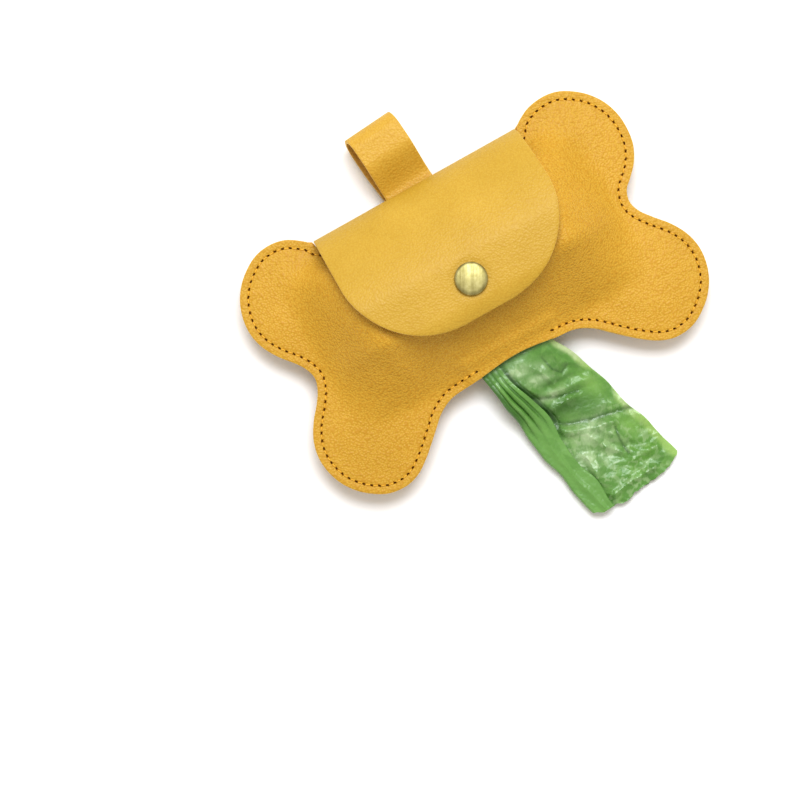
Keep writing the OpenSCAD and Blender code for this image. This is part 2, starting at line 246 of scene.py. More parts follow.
def leather_material(name, grain, tone, wrinkles=0.3):
    """Fine pebbled leather; grain says how strongly the pebbles show."""
    m, t, b = material(name, (0.72, 0.46, 0.07), 0.5)
    vec = coords(t)
    cells = node(t, "ShaderNodeTexVoronoi")
    cells.feature = "SMOOTH_F1"
    cells.inputs["Scale"].default_value = 1500
    cells.inputs["Smoothness"].default_value = 0.4
    t.links.new(vec, cells.inputs["Vector"])
    mottle = noise(t, vec, 55, 4, 0.6)
    fine = noise(t, vec, 900, 3, 0.6)
    r, g, k = tone
    base = ramp(t, mottle, [(0.30, (0.59 * r, 0.355 * g, 0.032 * k)), (0.72, (0.65 * r, 0.40 * g, 0.044 * k))])
    mix = node(t, "ShaderNodeMix", data_type="RGBA", blend_type="MULTIPLY")
    low = (1 - 0.10 * grain, 1 - 0.18 * grain, 1 - 0.36 * grain)
    shade = ramp(t, cells.outputs["Distance"], [(0.15, (1, 1, 1)), (0.75, low)])
    mix.inputs["Factor"].default_value = 1.0
    t.links.new(base, mix.inputs[6])
    t.links.new(shade, mix.inputs[7])
    t.links.new(mix.outputs[2], b.inputs["Base Color"])
    rough = ramp(t, fine, [(0.3, (0.40, 0.40, 0.40)), (0.7, (0.55, 0.55, 0.55))])
    t.links.new(rough, b.inputs["Roughness"])
    creases = noise(t, coords(t, (1, 3.2, 1), (0, 0, 0.75)), 160, 3, 0.55)
    n1 = bump(t, creases, 0.0004, wrinkles * grain)
    n2 = bump(t, cells.outputs["Distance"], 0.00024, min(1.0, 0.75 * grain), n1)
    n3 = bump(t, fine, 0.0001, 0.5 * grain, n2)
    t.links.new(n3, b.inputs["Normal"])
    b.inputs["Specular IOR Level"].default_value = 0.36
    return m


def raw_edge_material():
    m, t, b = material("leather_cut_edge", (0.80, 0.53, 0.17), 0.9)
    vec = coords(t)
    f = noise(t, vec, 2600, 4, 0.7)
    col = ramp(t, f, [(0.3, (0.70, 0.45, 0.12)), (0.7, (0.90, 0.66, 0.28))])
    t.links.new(col, b.inputs["Base Color"])
    t.links.new(bump(t, f, 0.0002, 0.8), b.inputs["Normal"])
    b.inputs["Specular IOR Level"].default_value = 0.2
    return m


def backing_material():
    m, t, b = material("leather_backing", (0.52, 0.29, 0.07), 0.95)
    vec = coords(t)
    knit = node(t, "ShaderNodeTexVoronoi")
    knit.inputs["Scale"].default_value = 1900
    t.links.new(vec, knit.inputs["Vector"])
    f = noise(t, vec, 1200, 4, 0.7)
    col = ramp(t, f, [(0.3, (0.48, 0.27, 0.05)), (0.7, (0.66, 0.40, 0.10))])
    t.links.new(col, b.inputs["Base Color"])
    n1 = bump(t, knit.outputs["Distance"], 0.00015, 0.7)
    t.links.new(bump(t, f, 0.0001, 0.5, n1), b.inputs["Normal"])
    b.inputs["Specular IOR Level"].default_value = 0.15
    return m


def hole_shade_material():
    # the needle holes' dark brown is painted shade inside the holes
    m, t, b = material("needle_hole_painted_shade", (0.12, 0.035, 0.005), 0.9)
    b.inputs["Specular IOR Level"].default_value = 0.0
    f = noise(t, coords(t), 3000, 2, 0.5)
    t.links.new(ramp(t, f, [(0.3, (0.12, 0.032, 0.004)), (0.7, (0.22, 0.07, 0.009))]), b.inputs["Base Color"])
    return m


def thread_material():
    m, t, b = material("waxed_thread", (0.62, 0.35, 0.04), 0.55)
    w = node(t, "ShaderNodeTexWave")
    w.inputs["Scale"].default_value = 900
    w.inputs["Distortion"].default_value = 1.5
    t.links.new(coords(t, (1, 1, 1), (0.5, 0.4, 0.8)), w.inputs["Vector"])
    t.links.new(
        ramp(t, w.outputs["Fac"], [(0.2, (0.66, 0.34, 0.02)), (0.8, (0.90, 0.56, 0.06))]),
        b.inputs["Base Color"],
    )
    t.links.new(bump(t, w.outputs["Fac"], 0.0001, 0.6), b.inputs["Normal"])
    return m


def brass_material():
    m, t, b = material("antique_brass", (0.70, 0.64, 0.34), 0.4, 1.0)
    vec = coords(t, (1, 1, 1))
    # brushed one way, with a few broad lighter stripes in the colour that are painted reflection streaks
    stretched = coords(t, (1, 33, 1), (0, 0, -0.51), "TEXTURE")
    brush = noise(t, stretched, 2600, 3, 0.6)
    reflection_streaks = noise(t, stretched, 330, 2, 0.5)
    wear = noise(t, vec, 620, 4, 0.65)
    col = ramp(t, wear, [(0.30, (0.42, 0.375, 0.15)), (0.70, (0.57, 0.52, 0.26))])
    mix = node(t, "ShaderNodeMix", data_type="RGBA", blend_type="MULTIPLY")
    mix.inputs["Factor"].default_value = 1.0
    t.links.new(col, mix.inputs[6])
    t.links.new(ramp(t, reflection_streaks, [(0.40, (0.66, 0.64, 0.56)), (0.60, (1, 1, 1))]), mix.inputs[7])
    t.links.new(mix.outputs[2], b.inputs["Base Color"])
    t.links.new(
        ramp(t, brush, [(0.3, (0.44, 0.44, 0.44)), (0.7, (0.62, 0.62, 0.62))]),
        b.inputs["Roughness"],
    )
    t.links.new(bump(t, brush, 0.00003, 0.5), b.inputs["Normal"])
    return m


def steel_material():
    m, t, b = material("drawn_wire", (0.62, 0.62, 0.60), 0.3, 1.0)
    f = noise(t, coords(t), 900, 3, 0.5)
    t.links.new(ramp(t, f, [(0.3, (0.24, 0.24, 0.24)), (0.7, (0.38, 0.38, 0.38))]), b.inputs["Roughness"])
    return m


def film_material(name, clear, scatter, deep, tinted):
    """Thin glossy film: green skin, light scattered through, a little seen through."""
    m, t, b = material(name, deep, 0.33)
    vec = coords(t)
    cloudy = noise(t, vec, 130, 4, 0.6)
    if tinted:
        # lighter where fewer layers lie on each other; the tint attribute also carries painted shade and painted
        # highlights of the creased film
        tint = node(t, "ShaderNodeAttribute", attribute_name="tint").outputs["Color"]
        mix = node(t, "ShaderNodeMix", data_type="RGBA", blend_type="MULTIPLY")
        mix.inputs["Factor"].default_value = 1.0
        t.links.new(tint, mix.inputs[6])
        t.links.new(ramp(t, cloudy, [(0.3, (0.86, 0.90, 0.84)), (0.7, (1, 1, 1))]), mix.inputs[7])
        skin = mix.outputs[2]
    else:
        skin = ramp(t, cloudy, [(0.3, tuple(c * 0.88 for c in deep)), (0.7, tuple(min(1, c * 1.12) for c in deep))])
    t.links.new(skin, b.inputs["Base Color"])
    b.inputs["Specular IOR Level"].default_value = 0.8
    grain = noise(t, vec, 900, 3, 0.6)
    crinkle = node(t, "ShaderNodeTexVoronoi")
    crinkle.feature = "DISTANCE_TO_EDGE"
    crinkle.inputs["Scale"].default_value = 520
    t.links.new(vec, crinkle.inputs["Vector"])
    n1 = bump(t, crinkle.outputs["Distance"], 0.0003, 0.5)
    n2 = bump(t, grain, 0.00008, 0.3, n1)
    t.links.new(n2, b.inputs["Normal"])
    tr = node(t, "ShaderNodeBsdfTranslucent")
    tr.inputs["Color"].default_value = (0.46, 0.80, 0.18, 1)
    t.links.new(n2, tr.inputs["Normal"])
    see = node(t, "ShaderNodeBsdfTransparent")
    see.inputs["Color"].default_value = (0.72, 0.92, 0.50, 1)
    m1 = node(t, "ShaderNodeMixShader")
    m1.inputs["Fac"].default_value = scatter
    t.links.new(b.outputs["BSDF"], m1.inputs[1])
    t.links.new(tr.outputs["BSDF"], m1.inputs[2])
    m2 = node(t, "ShaderNodeMixShader")
    m2.inputs["Fac"].default_value = clear
    t.links.new(m1.outputs["Shader"], m2.inputs[1])
    t.links.new(see.outputs["BSDF"], m2.inputs[2])
    t.links.new(m2.outputs["Shader"], t.nodes["Material Output"].inputs["Surface"])
    return m


def board_material():
    m, t, b = material("kraft_board", (0.42, 0.28, 0.15), 0.9)
    f = noise(t, coords(t, (4, 1, 1)), 500, 4, 0.7)
    t.links.new(ramp(t, f, [(0.3, (0.34, 0.22, 0.11)), (0.7, (0.50, 0.35, 0.20))]), b.inputs["Base Color"])
    t.links.new(bump(t, f, 0.0001, 0.5), b.inputs["Normal"])
    return m


LEATHER = leather_material("leather_grain", 1.3, (1, 1.02, 1.15), 0.25)
SMOOTH = leather_material("leather_fine", 0.65, (0.89, 0.96, 1.25), 0.15)
BAND = leather_material("leather_band", 0.85, (1.0, 1.05, 1.5), 0.06)
CUT = raw_edge_material()
BACKING = backing_material()
HOLE_SHADE = hole_shade_material()
THREAD = thread_material()
BRASS = brass_material()
STEEL = steel_material()
FILM = film_material("bag_film", 0.08, 0.16, (0.20, 0.44, 0.09), True)
ROLLED = film_material("rolled_film", 0.0, 0.2, (0.16, 0.40, 0.08), False)
BOARD = board_material()

for name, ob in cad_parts.items():
    mat = BRASS
    if "spring" in name:
        mat = STEEL
    elif name == "roll_core":
        mat = BOARD
    elif "snap" not in name:
        continue
    if not ob.material_slots:
        ob.data.materials.append(mat)
    for s in ob.material_slots:
        s.material = mat


# ------------------------------------------------------- outlines, heights
Q = [[0, -26.4], [9, -26.4], [17, -26.7], [23, -27.4], [28, -29.9],
     [32, -33.5], [36, -37.2], [40, -40.6], [44, -43.2], [48, -44.6],
     [52, -44.8], [56, -44.0], [60, -41.9], [64.2, -38.4], [67.6, -33.6],
     [69.5, -28], [69.8, -22.4], [68.4, -17], [65.5, -12], [62, -7.8],
     [59.3, -4], [58.1, 0]]
# The front panel above the axis runs just clear of the fold.
QT = [[x, -y] for x, y in Q]
QT[5:8] = [[34.4, 34.8], [37.0, 36.7], [39.0, 39.5]]
QB = [[59.3, 4], [62, 7.8], [65.5, 12], [68.4, 17], [69.8, 22.4],
      [69.5, 28], [67.6, 33.6], [64.2, 38.4], [60, 41.9], [56, 44.0],
      [52, 44.8], [48, 44.6], [44, 43.0], [40.2, 40.3], [37.5, 38.7]]


def cut(p):
    """The four lobes aren't cut quite alike."""
    p = np.asarray(p, float)
    x, y = p[:, 0], p[:, 1]
    w = ease((np.abs(x) - 38) / 9) * ease((np.abs(y) - 3) / 7)
    dx = np.where(x > 0, np.where(y > 0, -0.9 * ease((y - 12) / 12), 0.7),
                  np.where(y > 0, 0.5, 0.3))
    dy = np.where(x > 0, np.where(y > 0, -1.7, -0.6), np.where(y > 0, -0.4, 0.0))
    return p + w[:, None] * np.column_stack([dx, dy])


_r = Q + QT[-2::-1]
_ring = _r + [[-x, y] for x, y in reversed(_r)][1:-1]
outline = resample(spline(cut(_ring), 16, True), 0.1, True)      # the bone
# The front panel's lower edge lies a little higher over the slot.
SLOT = [[-14, -26.45], [-11, -26.2], [-7, -25.7], [-3, -25.25], [1, -25.05],
        [5, -25.1], [9, -25.5], [12.5, -26.0], [15.5, -26.5]]
_slot_x = [p[0] for p in SLOT]
_slot_y = [p[1] for p in SLOT]


def front_outline(step):
    p = outline.copy()
    m = (p[:, 1] < -20) & (p[:, 0] > -14) & (p[:, 0] < 15.5)
    sx = spline(SLOT, 12)
    p[m, 1] = np.interp(p[m, 0], sx[:, 0], sx[:, 1])
    return resample(p, step, True)


front_section = table(
    [[-60, 9.2], [-28, 9.2], [-24, 9.4], [-22, 10.4], [-20, 12], [-15, 15.9],
     [-10, 20], [-6, 23.3], [-4, 25.2], [-2, 26.6], [8.6, 26.6], [11, 26.1],
     [15, 25], [20, 23.2], [24, 21], [26.6, 19], [30, 13.6], [33, 10],
     [35, 9.2], [60, 9.2]], 1.0)
belly_section = table(
    [[-60, 0], [-26, 0], [-24, 0.2], [-20, 1.9], [-16, 4.1], [-12, 5.8],
     [-9, 6.45], [-7, 6.5], [9, 6.5], [11, 6.2], [13, 5.2], [15, 3.4],
     [17, 1.4], [18.5, 0.3], [19.5, 0], [60, 0]], 0.8)


def front_top(x, y):
    over = 1 - ease((np.abs(x) - 31) / 25)
    lip = 1.5 * ease((20 - np.abs(x - 2)) / 5) * ease((-17 - y) / 4)
    return FRONT_Z + (front_section(y) - 9.2) * over + lip


def back_low(x, y):
    over = 1 - ease((np.abs(x) - 31) / 23)
    return RIM_Z - belly_section(y) * RIM_Z / 6.5 * over


def slope_thickness(f, x, y):
    z = f(x, y)
    gx = (f(x + 0.4, y) - z) / 0.4
    gy = (f(x, y + 0.4) - z) / 0.4
    return LEATHER_T * np.sqrt(1 + gx**2 + gy**2)


# The seam's line, and the holes along it.
_n = outward(outline)
seam_line = outline - SEAM * _n
_start = int(np.argmin(np.abs(outline[:, 0]) + 100 * (outline[:, 1] > 0)))
seam_line = np.roll(seam_line, -_start, axis=0)
_far = int(np.argmin(np.abs(seam_line[:, 0]) + 100 * (seam_line[:, 1] < 0)))


def seam_run(s0, side):
    """Hole places and directions from the slot's end to under the flap."""
    half = seam_line[: _far + 1] if side > 0 else np.vstack([seam_line[:1], seam_line[:_far - 1:-1]])
    hs = lengths(half)
    count = int((hs[-1] - 38 - s0) // PITCH)
    s = s0 + PITCH * np.arange(count + 1)
    at = np.column_stack([np.interp(s, hs, half[:, k]) for k in (0, 1)])
    b = np.column_stack([np.interp(s + 0.3, hs, half[:, k]) for k in (0, 1)])
    return at, (b - at) / np.linalg.norm(b - at, axis=1)[:, None]


runs = {"right": seam_run(16, 1), "left": seam_run(12, -1)}


# ------------------------------------------------------------ leather sheet
def hex_grid(lo, hi, step):
    rows = np.arange(lo[1], hi[1], step * 0.866)
    out = []
    for k, y in enumerate(rows):
        xs = np.arange(lo[0] + (k % 2) * step / 2, hi[0], step)
        out.append(np.column_stack([xs, np.full(len(xs), y)]))
    return np.vstack(out)


PIT_A, PIT_B = (0.78, 0.31), (0.56, 0.18)


def leather_sheet(name, rim, rounded, place, mats, step=1.1, fine=None, pits=None,
                  round_by=0.28):
    """A sheet of leather over a flat outline, with rounded cut edges.

    place(points, side) puts flat points on the outer (+1) or inner (-1) face.
    """
    out = outward(rim)
    rounded = np.asarray(rounded, float)[:, None]
    loop = rim - out * round_by * rounded
    ring = rim - out * round_by * 0.3 * rounded
    lo, hi = rim.min(0), rim.max(0)
    pts = hex_grid(lo, hi, step)
    pts = pts[inside(loop, pts)]
    dist = edge_distance(loop, pts)
    keep = dist > 0.62 * step
    if fine:
        band, fine_step = fine
        keep &= dist > band
        extra = hex_grid(lo, hi, fine_step)
        extra = extra[inside(loop, extra)]
        de = edge_distance(loop, extra)
        extra = extra[(de <= band) & (de > 0.45 * fine_step)]
        pts = np.vstack([pts[keep], extra])
    else:
        pts = pts[keep]
    drops = np.zeros(0)
    pit_pts = np.zeros((0, 2))
    pit_id = np.zeros(0, int)
    if pits is not None:
        at, along = pits
        ang = np.arange(8) * math.pi / 4
        block, drop, ids = [], [], []
        for k, (c, d) in enumerate(zip(at, along)):
            tilt = math.radians(9)
            d = np.array([d[0] * math.cos(tilt) + d[1] * math.sin(tilt),
                          -d[0] * math.sin(tilt) + d[1] * math.cos(tilt)])
            e = np.array([-d[1], d[0]])
            for (a, b), z in ((PIT_A, 0.0), (PIT_B, 0.6)):
                for w in ang:
                    block.append(c + d * a * math.cos(w) + e * b * math.sin(w))
                    drop.append(z)
                    ids.append(k)
            block.append(c)
            drop.append(0.7)
            ids.append(k)
            rel = pts - c
            u = rel @ d / (PIT_A[0] + 0.22)
            v = rel @ e / (PIT_A[1] + 0.22)
            pts = pts[u**2 + v**2 > 1]
        pit_pts = np.array(block)
        drops = np.array(drop)
        pit_id = np.array(ids)
    n = len(rim)
    flat = np.vstack([loop, pts, pit_pts])
    res = delaunay_2d_cdt(
        [Vector(p) for p in flat], [(i, (i + 1) % n) for i in range(n)], [], 1, 1e-6, True
    )
    verts = np.array([tuple(v) for v in res[0]])
    source = np.array([o[0] if o else -1 for o in res[3]])
    where = np.full(len(flat), -1)
    where[source[source >= 0]] = np.nonzero(source >= 0)[0]
    tris = np.array([f for f in res[2] if len(f) == 3])
    tris = tris[inside(loop, verts[tris].mean(axis=1))]
    first_pit = n + len(pts)
    drop = np.zeros(len(verts))
    owner = np.full(len(verts), -1)
    pit_mask = source >= first_pit
    drop[pit_mask] = drops[source[pit_mask] - first_pit]
    owner[pit_mask] = pit_id[source[pit_mask] - first_pit]
    upper = place(verts, 1)
    lower = place(verts, -1)
    thick = upper - lower
    unit = thick / np.linalg.norm(thick, axis=1)[:, None]
    top = upper - unit * drop[:, None]
    m = len(verts)
    up_rim, dn_rim = place(rim, 1), place(rim, -1)
    up_ring, dn_ring = place(ring, 1), place(ring, -1)
    un = up_rim - dn_rim
    un /= np.linalg.norm(un, axis=1)[:, None]
    r1 = up_ring - un * 0.09 * rounded
    r2 = up_rim - un * 0.32 * rounded
    r3 = dn_rim + un * 0.32 * rounded
    r4 = dn_ring + un * 0.09 * rounded
    allv = np.vstack([top, lower, r1, r2, r3, r4])
    idx = where[:n]
    a = np.arange(n)
    bnx = (a + 1) % n
    loops = [idx, 2 * m + a, 2 * m + n + a, 2 * m + 2 * n + a, 2 * m + 3 * n + a, m + idx]
    faces = [tuple(f) for f in tris] + [(f[0] + m, f[2] + m, f[1] + m) for f in tris]
    pit_face = (owner[tris] >= 0).all(1) & (owner[tris[:, 0]] == owner[tris[:, 1]]) & (
        owner[tris[:, 0]] == owner[tris[:, 2]]
    )
    # pit faces take material 3, the needle holes' painted shade
    index = [3 if p else 0 for p in pit_face] + [2] * len(tris)
    for k in range(5):
        l0, l1 = loops[k], loops[k + 1]
        for i in range(n):
            quad = (l0[i], l0[bnx[i]], l1[bnx[i]], l1[i])
            faces.append(quad)
        index += [0 if k == 0 else (2 if k == 4 else 1)] * n
    return make(name, allv, faces, mats, index, sharp=42)


SHEET_MATS = [LEATHER, CUT, BACKING, HOLE_SHADE]
FLAP_MATS = [SMOOTH, CUT, BACKING, HOLE_SHADE]
BAND_MATS = [BAND, CUT, BACKING, HOLE_SHADE]

# front panel
rim = front_outline(0.75)
_pit_at = np.vstack([runs["right"][0], runs["left"][0]])
_pit_dir = np.vstack([runs["right"][1], runs["left"][1]])
_coarse = outline[::6]


def place_front(p, side):
    x, y = p[:, 0], p[:, 1]
    z = front_top(x, y)
    d = edge_distance(_coarse, p)
    # pressed in along the seam, a little puffed up inside it
    sewn = ease((np.hypot(x, y + 24) - 15) / 4)
    z = z - 0.22 * np.exp(-(((d - SEAM) / 0.6) ** 2)) * sewn
    z = z + 0.55 * ease((d - 3.2) / 9) * ease((np.abs(x) - 26) / 16)
    z = z + 0.16 * waves(x, y, 3, 34) * ease((d - 3) / 6)
    # slack folds that run from the slot's ends over the slope
    for x0, tilt, a in ((-19, -0.35, 0.30), (21, 0.30, 0.28), (-30, -0.55, 0.22), (33, 0.5, 0.2)):
        q = (x - x0) - tilt * (y + 22)
        z = z - a * np.exp(-((q / 2.6) ** 2)) * ease((y + 24) / 6) * ease((-2 - y) / 8)
    if side < 0:
        z = z - slope_thickness(front_top, x, y)
    return np.column_stack([x, y, z])


front = leather_sheet("front_leather", rim, np.ones(len(rim)), place_front, SHEET_MATS,
                      step=1.15, fine=(4.2, 0.6), pits=(_pit_at, _pit_dir))
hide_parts("front_panel")
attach(front, "pouch")

# back panel, down to just before the fold
_half_back = Q + QB
_open = [[-x, y] for x, y in reversed(_half_back)][:-1] + _half_back
_curve = resample(spline(cut(_open), 12), 0.8)
_top = np.column_stack([np.linspace(37.0, -37.0, 60), np.full(60, 36.0)])
_side_r = resample(np.array([_curve[-1], [37.15, 37.6], [37.0, 36.0]]), 0.6)[1:-1]
_side_l = _side_r[::-1] * [-1, 1]
back_rim = np.vstack([_curve, _side_r, _top, _side_l])
back_round = np.ones(len(back_rim))
_k = len(_curve) + len(_side_r)
back_round[_k : _k + len(_top)] = 0


def place_back(p, side):
    x, y = p[:, 0], p[:, 1]
    z = back_low(x, y)
    z = z + 0.05 * waves(x, y, 11, 30) * ease((np.abs(x) - 50) / 6)
    if side < 0:
        z = z + slope_thickness(back_low, x, y)
    return np.column_stack([x, y, z])


back = leather_sheet("back_leather", back_rim, back_round, place_back, SHEET_MATS, step=1.5)
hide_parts("back_panel")
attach(back, "pouch")

# flap
_arc = [[36.7 + 1.8 * math.cos(math.radians(a)), 8.5 + 1.8 * math.sin(math.radians(a))]
        for a in (-90, -67.5, -45, -22.5, 0)]
FLAP_SIDE = ([[36.0, 6.7]] + _arc
             + [[38.5, 9.6], [38.35, 11.2], [37.8, 12.9], [36, 15.9], [33, 19],
                [29, 21.9], [24, 24.8], [18.5, 27.45], [14, 29.2], [10.5, 30.2],
                [7.5, 30.45], [2.4, 30.48], [-2.6, 30.45], [-4.8, 30.25], [-7, 29.65],
                [-9.3, 28.5]])
_fp = resample(spline(FLAP_SIDE, 14), 0.2)
_fs = lengths(_fp)
_fn = np.gradient(_fp, axis=0)
_fn /= np.linalg.norm(_fn, axis=1)[:, None]
_fn = np.column_stack([_fn[:, 1], -_fn[:, 0]])          # outward, away from the pouch
for _ in range(6):
    _fn = (np.vstack([_fn[:1], _fn[:-1]]) + _fn + np.vstack([_fn[1:], _fn[-1:]])) / 3
_fn /= np.linalg.norm(_fn, axis=1)[:, None]
FLAP_L = _fs[-1]
SNAP = (0.0, 2.4)


def place_flap(p, side):
    x, s = p[:, 0], p[:, 1]
    y = np.interp(s, _fs, _fp[:, 0])
    z = np.interp(s, _fs, _fp[:, 1])
    ny = np.interp(s, _fs, _fn[:, 0])
    nz = np.interp(s, _fs, _fn[:, 1])
    lift = 0.16 * waves(x, s, 21, 38) * ease((s - 8) / 10)
    r = np.hypot(x - SNAP[0], y - SNAP[1])
    lift = lift * ease((r - 5) / 6) - 0.22 * np.exp(-(((r - 5.4) / 1.3) ** 2)) * (z > 25)
    if side < 0:
        lift = lift - LEATHER_T
    return np.column_stack([x, y + ny * lift, z + nz * lift])


_a = np.linspace(-math.pi / 2, 0, 60)
_corner = np.column_stack([7 + 30 * np.cos(_a[::-1]), FLAP_L - 30 - 30 * np.sin(_a)[::-1]])
_right = np.vstack([np.column_stack([np.full(30, 37.0), np.linspace(0, FLAP_L - 30, 31)[:-1]]), _corner])
_poly = np.vstack([_right, _right[::-1] * [-1, 1]])
_side = resample(_poly, 0.7)
_base = np.column_stack([np.linspace(-37, 37, 90)[1:-1], np.zeros(88)])
flap_rim = np.vstack([_side, _base])
flap_round = np.concatenate([np.ones(len(_side)), np.zeros(len(_base))])
flap_round[[0, len(_side) - 1]] = 0
flap = leather_sheet("flap_leather", flap_rim, flap_round, place_flap, FLAP_MATS,
                     step=0.7)
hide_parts("flap")
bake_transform(flap)

# strap: sewn root up to the loop's crown, then the crown and the free tail
LEAN = math.radians(4.7)
STRAP_O = (-0.5, 28.5)
LOOP_Y, LOOP_Z, LOOP_R = 57.1, 7.5, 5.15


def strap_to_part(x, y, z):
    c, s = math.cos(LEAN), math.sin(LEAN)
    y = y - 28.5
    return np.column_stack([STRAP_O[0] + c * x - s * y, STRAP_O[1] + s * x + c * y, z])


def sheet_along(path, drift):
    """place() for a strip whose middle follows path in (y, z)."""
    s = lengths(path)
    t = np.gradient(path, axis=0)
    t /= np.linalg.norm(t, axis=1)[:, None]
    n = np.column_stack([-t[:, 1], t[:, 0]])

    def place(p, side):
        x, q = p[:, 0], p[:, 1]
        y = np.interp(q, s, path[:, 0])
        z = np.interp(q, s, path[:, 1])
        ny = np.interp(q, s, n[:, 0])
        nz = np.interp(q, s, n[:, 1])
        off = side * LEATHER_T / 2
        x = x + drift(q)
        return strap_to_part(x, y + ny * off, z + nz * off)

    return place, s[-1]


_ry = np.linspace(21, 57.1, 220)
root_path = np.column_stack([_ry, 6.0 + 6.65 * ease((_ry - 40) / 12.5)])
root_place, root_len = sheet_along(root_path, lambda q: 0 * q)


def strip_rim(length, half, round_end, step=0.6):
    xs = np.linspace(-half, half, 30)
    if round_end:
        r = 4.0
        a = np.linspace(0, math.pi / 2, 12)
        right = np.vstack([
            np.column_stack([np.full(2, half), [0, length - r]]),
            np.column_stack([half - r + r * np.cos(a), length - r + r * np.sin(a)]),
        ])
        side = resample(np.vstack([right, right[::-1] * [-1, 1]]), step)
        base = np.column_stack([xs[1:-1], np.zeros(28)])
        rim = np.vstack([side, base])
        rnd = np.concatenate([np.ones(len(side)), np.zeros(28)])
        rnd[[0, len(side) - 1]] = 0
    else:
        side = np.column_stack([np.full(2, half), [0, length]])
        side = resample(side, step)
        far = np.column_stack([xs[::-1][1:-1], np.full(28, length)])
        near = np.column_stack([xs[1:-1], np.zeros(28)])
        rim = np.vstack([side, far, side[::-1] * [-1, 1], near])
        rnd = np.concatenate([np.ones(len(side)), np.zeros(28), np.ones(len(side)), np.ones(28)])
        k = len(side)
        rnd[[k - 1, k + 28]] = 0
    return rim, rnd


_rim, _rnd = strip_rim(root_len, 8.5, False)
root = leather_sheet("strap_root_leather", _rim, _rnd, root_place, BAND_MATS, step=0.5)
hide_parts("strap_root")
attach(root, "pouch")

_ca = np.linspace(math.pi / 2, -math.pi / 2, 90)
tail_path = np.vstack([
    np.column_stack([LOOP_Y + LOOP_R * np.cos(_ca), LOOP_Z + LOOP_R * np.sin(_ca)]),
    np.column_stack([np.linspace(57.0, 21.3, 120), np.full(120, LOOP_Z - LOOP_R)]),
])
tail_place, tail_len = sheet_along(
    tail_path, lambda q: -1.15 * ease(q / 15) * (1 - ease((q - 20) / 22))
)
_rim, _rnd = strip_rim(tail_len, 8.5, True)
tail = leather_sheet("strap_tail_leather", _rim, _rnd, tail_place, BAND_MATS, step=0.5)
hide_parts("strap_tail")
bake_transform(tail)


# ----------------------------------------------------------------- stitches
def tubes(name, lines, radius, around=8):
    """Closed tubes along short lines; lines is a list of (points, side)."""
    verts, faces = [], []
    for pts, lateral in lines:
        base = len(verts)
        t = np.gradient(pts, axis=0)
        t /= np.linalg.norm(t, axis=1)[:, None]
        up = np.cross(lateral, t)
        up /= np.linalg.norm(up, axis=1)[:, None]
        for i, p in enumerate(pts):
            r = radius * (0.55 if i in (0, len(pts) - 1) else 1.0)
            for k in range(around):
                w = 2 * math.pi * k / around
                verts.append(p + r * (math.cos(w) * lateral + math.sin(w) * up[i]))
        n = len(pts)
        for i in range(n - 1):
            for k in range(around):
                a = base + i * around + k
                b = base + i * around + (k + 1) % around
                faces.append((a, b, b + around, a + around))
        faces.append(tuple(base + k for k in range(around)))
        faces.append(tuple(base + (n - 1) * around + k for k in range(around)))
    return make(name, verts, faces, [THREAD], sharp=60, join=False)


def stitch(a, b, up, lift, deep, slant):
    """Thread from hole a to hole b over the leather."""
    d = b - a
    length = np.linalg.norm(d)
    d = d / length
    lat = np.cross(up, d)
    lat /= np.linalg.norm(lat)
    along = np.array([0.44, 0.64, 0.88, length / 2, length - 0.88, length - 0.64, length - 0.44])
    high = np.array([-deep, -0.12, lift * 0.8, lift, lift * 0.8, -0.12, -deep])
    side = np.linspace(-slant, slant, 7)
    pts = a + along[:, None] * d + high[:, None] * up + side[:, None] * lat
    return pts, lat


def seam_threads(run):
    at, _d = run
    lines = []
    for face in (1, -1):
        p3 = place_front(at, 1) if face > 0 else place_back(at, 1)
        up = np.array([0, 0, float(face)])
        for i in range(len(at) - 1):
            lines.append(stitch(p3[i], p3[i + 1], up, 0.17, 0.6, 0.1 * face))
        # the machine's few stitches back over the first ones
        if face > 0:
            for i in range(2):
                a = p3[i] + np.array([0.35, 0.30, 0.05])
                b = p3[i + 1] + np.array([0.1, 0.34, 0.05])
                lines.append(stitch(a, b, up, 0.2, 0.5, -0.14))
    return lines


for side in ("left", "right"):
    ob = tubes("thread_" + side, seam_threads(runs[side]), 0.21)
    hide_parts("seam_stitching_" + side)
    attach(ob, "pouch")

_rows = []
for y in (22.3, 35.2):
    for face, z in ((-1, 5.33), (1, 8.02)):
        xs = (np.arange(7) - 3) * PITCH
        p3 = strap_to_part(xs, np.full(7, y), np.full(7, z))
        for i in range(6):
            _rows.append(stitch(p3[i], p3[i + 1], np.array([0, 0, float(face)]), 0.2, 0.5, 0.1))
ob = tubes("thread_strap", _rows, 0.21)
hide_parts("strap_stitching")
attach(ob, "pouch")


# -------------------------------------------------------------------- snaps
def lathe(name, profile, place, mats, around=96):
    p = np.asarray(profile, float)
    w = np.arange(around) * 2 * math.pi / around
    verts, faces = [], []
    for r, z in p:
        for a in w:
            verts.append((r * math.cos(a), r * math.sin(a), z))
    n = len(p)
    for i in range(n - 1):
        for k in range(around):
            a, b = i * around + k, i * around + (k + 1) % around
            faces.append((a, b, b + around, a + around))
    verts = place(np.array(verts))
    return make(name, verts, faces, mats, sharp=50)


CAP = spline([[5.0, 0.02], [5.2, 0.14], [5.25, 0.36], [5.22, 0.64], [5.08, 0.94],
              [4.75, 1.22], [4.2, 1.40], [3.4, 1.50], [2.5, 1.58], [1.6, 1.64], [0.8, 1.68], [0.0, 1.7]], 6)
CAP_UNDER = [[0.0, -0.85], [1.1, -0.85], [1.35, -0.75], [1.5, -0.5], [1.5, -0.3],
             [1.5, 0.02 - 1.3 + 1.3]]
cap_profile = np.vstack([np.array(CAP_UNDER), CAP])
cap_profile[:, 0] = np.maximum(cap_profile[:, 0], 0.0)


